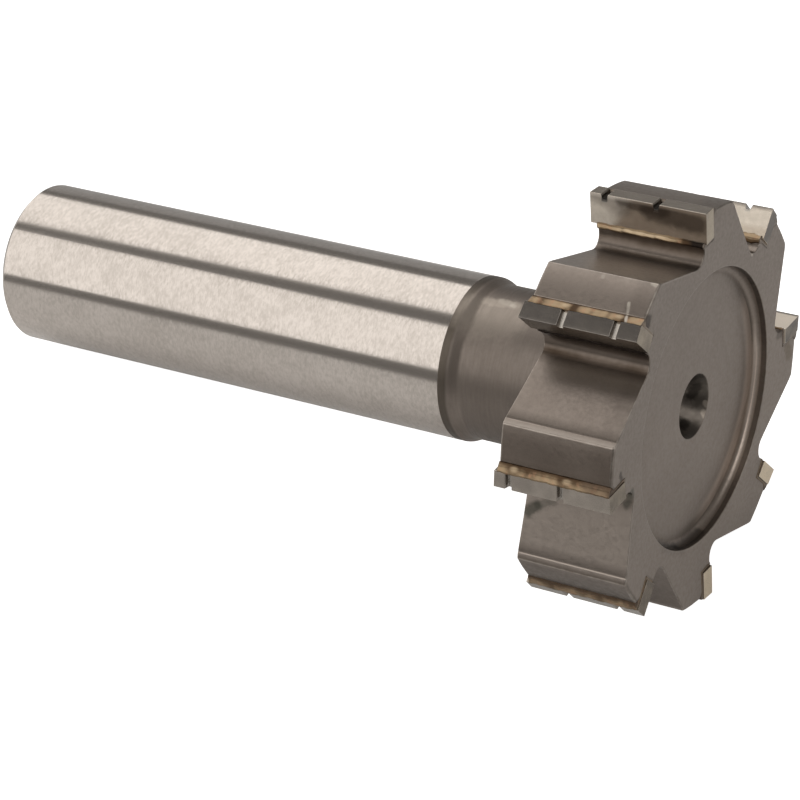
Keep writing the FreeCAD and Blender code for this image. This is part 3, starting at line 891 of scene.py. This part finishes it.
# stains, burns and flecks, painted shadow in chords by the foot of the recess's wall, and a painted highlight streak
# with specks, partly scratches, along the neck; each as smudges takes it
headStainsAndPaintedLight = [
    ((-8.1, 3.65, -12.7), (-7.5, 3.15, -12.55), 0.62, 0.7, 0.70, greenStain),
    ((-7.4, 3.05, -12.5), (-6.2, 2.5, -12.35), 0.42, 0.9, 0.45, greenStain),
    ((-0.5, 1.5, -12.1), (0.1, 0.3, -12.2), 0.50, 0.7, 0.62, greenStain),
    ((0.1, -1.7, -13.8), (0.1, -2.1, -13.9), 0.34, 0.7, 0.75, burnt),
    ((0.1, -11.6, -9.2), (0.1, -11.9, -9.1), 0.62, 0.8, 0.85, burnt),
    ((0.1, 0.10, 12.5), (0.1, 0.25, 13.6), 0.50, 0.7, 0.50, burnt),
    ((0.1, 1.0, 13.8), (0.1, 2.6, 14.3), 0.75, 0.8, 0.65, brownStain),
    ((-4.19, -13.61, -7.41), (-4.15, -13.55, -7.5), 0.20, 0.5, 0.32, paleFleck),
    ((-0.4, -13.72, -7.2), (-0.16, -13.68, -7.27), 0.26, 0.6, 0.55, paleFleck),
    ((0.04, -8.96, 7.93), (0.04, -8.90, 7.99), 0.22, 0.6, 0.8, paleFleck),
    ((-1.50, -12.75, -8.82), (-1.15, -12.08, -10.0), 0.17, 0.2, 0.95, paleFleck),
    # the neck: a painted highlight, a reflected streak with pale specks along it that are partly scratches
    ((-17.3, -5.9, -1.2), (-14.9, -5.85, -1.0), 0.62, 0.9, 0.60, sheenTone),
    ((-17.7, -5.4, -2.6), (-14.9, -5.3, -2.4), 2.40, 0.4, 0.45, sheenTone),
    ((-16.2, -5.85, -0.85), (-15.3, -5.85, -1.0), 0.45, 0.8, 0.35, paleFleck),
    ((-15.2, -5.85, -1.1), (-15.0, -5.8, -1.15), 0.26, 0.6, 0.55, paleFleck),
    # painted shadow along the foot of the recess's wall
    ((-0.7, 7.6, -7.7), (-0.7, 9.9, -4.3), 0.86, 0.3, 0.82, shadowTone),
    ((-0.7, 9.9, -4.3), (-0.7, 10.7, -0.4), 0.74, 0.3, 0.62, shadowTone),
]
# the centre hole: painted light and shade, a base tone, two patches of painted shadow and a painted reflection on the
# waist between them
holeLightAndShade = [
    ((-1.5, -2.4, 0.2), (-1.5, 2.4, 0.2), 9.0, 0.0, 1.0, holeWall),
    ((-1.45, -1.45, 1.75), (-1.75, 0.25, 1.9), 1.30, 0.9, 0.95, holeShadow),
    ((-1.6, 2.0, -0.2), (-1.4, 2.1, 0.4), 1.05, 0.9, 0.95, holeShadow),
    ((-1.7, -0.5, 1.9), (-2.1, 0.3, 1.75), 0.60, 0.9, 0.8, shadowTone),
    ((-2.1, 1.9, 0.0), (-2.0, 1.8, 0.3), 0.65, 0.9, 0.8, shadowTone),
    ((-1.15, 0.9, 2.2), (-1.05, 1.0, 2.2), 0.30, 0.8, 0.8, sheenTone),
    ((-1.15, 1.55, 1.85), (-1.0, 1.75, 1.8), 0.34, 0.8, 0.8, sheenTone),
]


def blastedSteel():
    # the head, neck and unground band: fine blasted speckle over slow patches, turning lines on the neck and rings on
    # the end face, zones lighter or darker than the rest, painted light and shade in the recess, on the step up to the
    # shank and across the end face, brown beside the braze from its heat, painted shade in the gullets and painted
    # light and shade on their floors, a pale strip at two heels and painted shadow in the sunk line beside it, edges
    # lightened by wear and painted highlight, the stains and flecks of use, painted shadow by the recess's wall, a
    # painted highlight along the neck, and painted light and shade in the centre hole
    finish = blastedFinish
    material, tree, shader = newMaterial("blastedSteel")
    point, along, radius = useGroup(tree, toolPlace).node.outputs
    measures = {"along": along, "radius": radius}
    measures.update({name: facing(tree, point, way) for name, way in steelWays.items()})
    within = {name: times(tree, *(span(tree, measures[measure], *places) for measure, *places in ramps))
              for name, ramps in steelZones.items()}
    patches, grains, fine = (spots(tree, point, *finish[key]) for key in ("patches", "grains", "fine"))
    rings = spots(tree, addNode(tree, "ShaderNodeCombineXYZ", {0: radius}), *finish["rings"])
    grain = mixed(tree, times(tree, within["neck"], finish["linesOnNeck"]), grains,
                  lines(tree, point, *finish["neckLines"]))
    grain = mixed(tree, times(tree, within["face"], finish["ringsOnFace"]), grain, rings)
    colour = blend(tree, patches, finish["mid"], finish["between"])
    colour = blend(tree, times(tree, calc(tree, "SUBTRACT", 1.0, grain), finish["grainDark"]), colour, finish["dark"])
    colour = blend(tree, times(tree, fine, finish["finePale"]), colour, finish["light"])
    toneAndPaintedLight = calc(tree, "ADD", span(tree, within["neck"], 0.0, 1.0, 1.0, finish["neck"]),
                 times(tree, within["shoulder"], finish["shoulder"] - 1.0))
    for name, tone in finish["paintedLight"].items():
        toneAndPaintedLight = times(tree, toneAndPaintedLight, span(tree, within[name], 0.0, 1.0, 1.0, tone))
    paintedFall = times(tree, span(tree, measures["downward"], *finish["paintedFaceShade"]), within["faceAndRecess"])
    colour = scaled(tree, colour, times(tree, toneAndPaintedLight, calc(tree, "ADD", paintedFall, 1.0)))
    ring = times(tree, within["ring"], within["face"], times(tree, patches, finish["ringDark"]))
    # the scorch mark: brown from brazing heat on the lands, painted shade on the gullets' walls, corners and lines,
    # and on the darker gullet floors
    heat = calc(tree, "MULTIPLY", mark(tree, "scorchAndShade"), span(tree, patches, *finish["heatPatches"]), clamp=True)
    wornAndLit = useGroup(tree, edgeWearAndGlint, Point=point, Amount=finish["wornAmount"])
    # the line mark is painted shadow in the sunk line at two heels
    for mask, tone in ((ring, "heat"), (mark(tree, "pale"), "light"),
                       (times(tree, mark(tree, "line"), finish["lineShadow"]), "line"),
                       (times(tree, within["band"], finish["bandDark"]), "unground"), (heat, "heat"), (wornAndLit, "wornAndLit")):
        colour = blend(tree, mask, colour, finish[tone])
    colour = smudges(tree, point, colour, headStainsAndPaintedLight)
    colour = blend(tree, within["hole"], colour, smudges(tree, point, colour, holeLightAndShade))
    rougher = calc(tree, "MAXIMUM", within["neck"], within["nearRecess"])
    roughness = calc(tree, "MULTIPLY_ADD", rougher, finish["rougher"], span(tree, grain, *finish["roughness"]))
    height = calc(tree, "MULTIPLY_ADD", fine, finish["fineHeight"], times(tree, grain, 1 - finish["fineHeight"]))
    dress(tree, shader, colour, roughness, finish["metal"], height, finish["bump"])
    return material


groundFinish = {
    "light": (0.600, 0.551, 0.510),
    "dull": (0.470, 0.429, 0.392),
    "lines": (3.4, 1.9, 1.6),       # lines to a millimetre, the same round the shank, sharpness
    "fine": (9.0, 3.2, 1.7),
    "patches": (2.4, 1.4),
    "fineShare": 0.45,
    "patchShare": 0.25,
    "dullToLight": (0.3, 0.7),      # the mottle's range
    "roughness": (0.25, 0.75, 0.21, 0.13),
    "bump": (0.05, 0.00001),
    "anisotropy": 0.6,
}


def groundSteel():
    # the shank: bright steel ground between centres, fine lines round it with a soft mottle
    finish = groundFinish
    material, tree, shader = newMaterial("groundSteel")
    point = useGroup(tree, toolPlace)
    coarse, fine = (lines(tree, point, *finish[key]) for key in ("lines", "fine"))
    mottle = mixed(tree, finish["fineShare"], coarse, fine)
    mottle = mixed(tree, finish["patchShare"], mottle, spots(tree, point, *finish["patches"]))
    colour = blend(tree, span(tree, mottle, *finish["dullToLight"]), finish["dull"], finish["light"])
    dress(tree, shader, colour, span(tree, mottle, *finish["roughness"]), 1.0, mottle, finish["bump"])
    grainWay = addNode(tree, "ShaderNodeTangent", direction_type="UV_MAP", uv_map="turning")
    plug(tree, shader, {"Tangent": grainWay, "Anisotropic": finish["anisotropy"]})
    return material


carbideFinish = {
    # the rake's brightest tone is a painted reflection of a lamp
    "rake": ((0.27, 0.24, 0.205), (0.95, 0.855, 0.735)),        # at tone 0 and tone 1
    "land": ((0.125, 0.113, 0.103), (0.55, 0.493, 0.430)),
    "end": ((0.12, 0.103, 0.088), (0.95, 0.81, 0.61)),
    "notch": (0.52, 0.485, 0.44),
    "soot": (0.016, 0.013, 0.011),
    "wornAndLit": (0.46, 0.42, 0.37),
    "patches": (1.3, 1.6),
    "fine": (0.12, 1.5),
    "fineShare": 0.2,
    "toneSwing": 0.3,       # how much the mottle changes the tone
    "notchPale": 0.85,      # how strongly the notches and the soot tint what is under them
    "sootDark": 0.95,
    "wornAmount": 0.25,
    "roughness": (0.2, 0.8, 0.27, 0.19),
    "mattRougher": 0.3,
    "bump": (0.12, 0.00003),
}
rakeSmoke, rakeSmear = (0.075, 0.060, 0.050), (0.50, 0.42, 0.33)
rakeMarks = [
    ((-8.3, -15.9, 0.0), (-6.4, -15.3, 0.0), 1.20, 0.5, 0.42, rakeSmoke),
    ((-6.4, -15.75, 0.0), (-3.2, -15.5, 0.0), 0.85, 0.4, 0.75, rakeSmoke),
    ((-4.2, -15.3, 0.0), (-0.5, -14.9, 0.0), 1.15, 0.4, 0.75, rakeSmoke),
    ((0.2, -9.60, 9.60), (-9.0, -9.60, 9.60), 0.95, 0.25, 0.60, rakeSmear),
]


def groundCarbide():
    # the tips: bright or matt rake faces, duller lands, their brightness tooth by tooth partly painted light and
    # shade, notches freshly cut or black with soot, and pale edges of wear and painted highlight
    finish = carbideFinish
    material, tree, shader = newMaterial("groundCarbide")
    point = useGroup(tree, toolPlace)
    patches = spots(tree, point, *finish["patches"])
    mottle = mixed(tree, finish["fineShare"], patches, spots(tree, point, *finish["fine"]))
    uneven = calc(tree, "SUBTRACT", mottle, 0.5)
    tone = calc(tree, "MULTIPLY_ADD", uneven, finish["toneSwing"], mark(tree, "tone"), clamp=True)
    rake, land, end = (blend(tree, tone, *finish[key]) for key in ("rake", "land", "end"))
    rake = smudges(tree, point, rake, rakeMarks)
    colour = blend(tree, mark(tree, "land"), blend(tree, mark(tree, "end"), rake, end), land)
    colour = blend(tree, times(tree, mark(tree, "notch"), finish["notchPale"]), colour, finish["notch"])
    colour = blend(tree, useGroup(tree, edgeWearAndGlint, Point=point, Amount=finish["wornAmount"]), colour, finish["wornAndLit"])
    colour = blend(tree, times(tree, mark(tree, "soot"), finish["sootDark"]), colour, finish["soot"])
    matt = mark(tree, "matt")
    roughness = calc(tree, "MULTIPLY_ADD", matt, finish["mattRougher"], span(tree, mottle, *finish["roughness"]))
    dress(tree, shader, colour, roughness, calc(tree, "SUBTRACT", 1.0, matt), patches, finish["bump"])
    return material


brazeFinish = {
    "gold": (0.31, 0.228, 0.142),
    "pale": (0.45, 0.350, 0.235),
    "brown": (0.078, 0.047, 0.026),
    "burnt": (0.020, 0.014, 0.011),
    "copper": (0.33, 0.195, 0.120),
    "grey": (0.215, 0.182, 0.155),
    "patches": (1.1, 1.2),
    "spots": (0.45, 1.6),
    "lumps": (0.35, 1.2),
    "tintSwing": 0.28,
    "burntToBrown": (-0.45, -0.05),     # ranges of the tint
    "brownToGold": (0.10, 0.65),
    "copperTint": (0.1, 0.4, 0.0, 0.65),
    "copperSpots": (0.5, 0.75),
    "poolPale": (0.25, 0.85),
    "roughness": (0.2, 0.8, 0.48, 0.30),
    "bump": (0.4, 0.00003),
    "metal": 0.9,
}
# the scratch over one tooth's land runs on across its braze, and the next one's bead is browner at its front end
beadBrown = (0.125, 0.088, 0.062)
brazeMarks = [
    ((-1.35, -12.45, -9.4), (-1.05, -12.05, -10.25), 0.15, 0.2, 0.9, paleFleck),
    ((-1.5, -1.62, -15.5), (0.0, -1.62, -15.5), 0.95, 0.8, 0.62, beadBrown),
]


def brazeMetal():
    # silver braze, golden where it is clean, brown where flux and heat have stained it, pale where it has pooled,
    # with a painted highlight along the foot of two tips and painted shadow with the stain on the bead's steel side
    finish = brazeFinish
    material, tree, shader = newMaterial("brazeMetal")
    point = useGroup(tree, toolPlace)
    patches, small, lumps = (spots(tree, point, *finish[key]) for key in ("patches", "spots", "lumps"))
    uneven = calc(tree, "SUBTRACT", patches, 0.5)
    tint = calc(tree, "MULTIPLY_ADD", uneven, finish["tintSwing"], mark(tree, "clean"))
    brown = blend(tree, span(tree, tint, *finish["burntToBrown"]), finish["burnt"], finish["brown"])
    colour = blend(tree, span(tree, tint, *finish["brownToGold"]), brown, finish["gold"])
    coppery = times(tree, span(tree, small, *finish["copperSpots"]), span(tree, tint, *finish["copperTint"]))
    colour = blend(tree, coppery, colour, finish["copper"])
    colour = blend(tree, span(tree, mark(tree, "blob"), *finish["poolPale"]), colour, finish["pale"])
    colour = blend(tree, mark(tree, "grey"), colour, finish["grey"])
    colour = smudges(tree, point, colour, brazeMarks)
    dress(tree, shader, colour, span(tree, tint, *finish["roughness"]), finish["metal"], lumps, finish["bump"])
    return material


for material in (blastedSteel(), groundSteel()):
    steelPiece.data.materials.append(material)
for pieces, material in ((tipPieces, groundCarbide()), (brazePieces, brazeMetal())):
    for piece in pieces:
        piece.data.materials.append(material)
print("materials set")

# Pale bench and plain surroundings, both over-lit to white where they are seen directly
bench = {
    "halfSize": 1.6,
    "colour": 0.86,
    "backColour": 0.42,     # duller behind the tool, where the top of the shank mirrors it
    "backWay": (-0.521, 0.853, 0.0),
    "backPlaces": (0.012, 0.040),
    "glows": (0.05, 0.03),          # the bench's own light, close to the tool and further out
    "nearFar": (0.05, 0.40),
    "overLit": 0.92,
    "surround": 0.97,
    "fill": 0.20,
    "skyColour": (1.0, 0.965, 0.92, 1.0),
}


def buildBench():
    # a flat square, its four corners at the half size
    half = bench["halfSize"]
    mesh = bpy.data.meshes.new("bench")
    mesh.from_pydata([(-half, -half, 0), (half, -half, 0), (half, half, 0), (-half, half, 0)], [], [(0, 1, 2, 3)])
    top = bpy.data.objects.new("bench", mesh)
    bpy.context.scene.collection.objects.link(top)
    material, tree, shader = newMaterial("paleBench")
    point = addNode(tree, "ShaderNodeTexCoord", output="Object")
    away = vectorCalc(tree, "LENGTH", point, output="Value")
    own = span(tree, away, *bench["nearFar"], *bench["glows"])
    seen = addNode(tree, "ShaderNodeLightPath", output="Is Camera Ray")
    back = facing(tree, point, bench["backWay"])
    plug(tree, shader, {
        "Base Color": span(tree, back, *bench["backPlaces"], bench["colour"], bench["backColour"]),
        "Emission Strength": mixed(tree, seen, own, bench["overLit"]), "Emission Color": (1.0, 1.0, 1.0, 1.0),
        "Roughness": 0.9, "Specular IOR Level": 0.1})
    mesh.materials.append(material)


def buildSurround():
    # an even light all round: faint on the tool, near white where the camera sees it
    world = bpy.data.worlds.new("surround")
    world.use_nodes = True
    tree = world.node_tree
    tree.nodes.clear()
    seen = addNode(tree, "ShaderNodeLightPath", output="Is Camera Ray")
    strength = span(tree, seen, 0.0, 1.0, bench["fill"], bench["surround"])
    light = addNode(tree, "ShaderNodeBackground", {0: bench["skyColour"], 1: strength})
    addNode(tree, "ShaderNodeOutputWorld", {0: light})
    bpy.context.scene.world = world


# Soft boxes. around is the angle about the tool's axis from the side that faces the camera, upwards; spread is the
# angle about the axis that it fills; lean is how far it stands towards the head's end, or the shank's if negative.
softLights = {
    "behind": {"around": 79.2, "spread": 54.7, "lean": -27.8, "distance": 0.60, "length": 0.80, "brightness": 1.22},
    "front": {"around": 2.0, "spread": 60.5, "lean": -27.8, "distance": 0.60, "length": 0.80, "brightness": 1.15},
    "headEnd": {"around": 45.0, "spread": 60.0, "lean": 48.0, "distance": 0.70, "length": 0.50, "brightness": 1.1},
}
lightColour = (1.0, 0.975, 0.945)
aimPoint = (-38.0, 0.0, 0.0)    # where on the tool's axis the lights point
view = {
    "eye": (84.7588, -134.8651, 188.9650),
    "right": (0.8843907, 0.4633253, -0.0564166),
    "up": (-0.3203383, 0.6904351, 0.6486007),
    "forward": (-0.3394651, 0.5555440, -0.7590352),
    "lens": 139.10,
    "sensor": 36.0,
    "clip": (0.01, 20.0),
}


def standAt(spot, name, data, across, up, back):
    # a light or camera at the spot, its own three ways given
    holder = bpy.data.objects.new(name, data)
    bpy.context.scene.collection.objects.link(holder)
    holder.matrix_world = Matrix.Translation(spot) @ Matrix((across, up, back)).transposed().to_4x4()
    return holder


def buildLights():
    # Each box stands its distance from the aim point, facing it. Its height fills the spread there, and its power
    # is its brightness times pi times its area.
    axis = Vector(layMatrix[:, 0])
    target = Vector(onBench(aimPoint))
    toCamera = Vector(view["eye"]) / 1000 - target
    side = (toCamera - axis * toCamera.dot(axis)).normalized()
    upward = axis.cross(side)
    if upward.z < 0:
        upward = -upward
    for name, light in softLights.items():
        around, lean = np.radians(light["around"]), np.radians(light["lean"])
        outward = side * np.cos(around) + upward * np.sin(around)
        way = (outward * np.cos(lean) + axis * np.sin(lean)).normalized()
        lamp = bpy.data.lights.new(name, "AREA")
        lamp.shape = "RECTANGLE"
        lamp.size = light["length"]
        lamp.size_y = 2 * light["distance"] * np.cos(lean) * np.tan(np.radians(light["spread"] / 2))
        lamp.energy = light["brightness"] * np.pi * lamp.size * lamp.size_y
        lamp.color = lightColour
        across = (axis - way * axis.dot(way)).normalized()
        standAt(target + way * light["distance"], name, lamp, across, way.cross(across), way)


def buildCamera():
    # the photograph's own view: its eye in millimetres, and its three ways
    data = bpy.data.cameras.new("camera")
    data.lens, data.sensor_width, data.sensor_fit = view["lens"], view["sensor"], "HORIZONTAL"
    data.clip_start, data.clip_end = view["clip"]
    back = tuple(-v for v in view["forward"])
    bpy.context.scene.camera = standAt(Vector(view["eye"]) / 1000, "camera", data, view["right"], view["up"], back)


buildBench()
buildSurround()
buildLights()
buildCamera()
bpy.context.scene.view_settings.view_transform = "Standard"
print("bench, lights and camera placed")
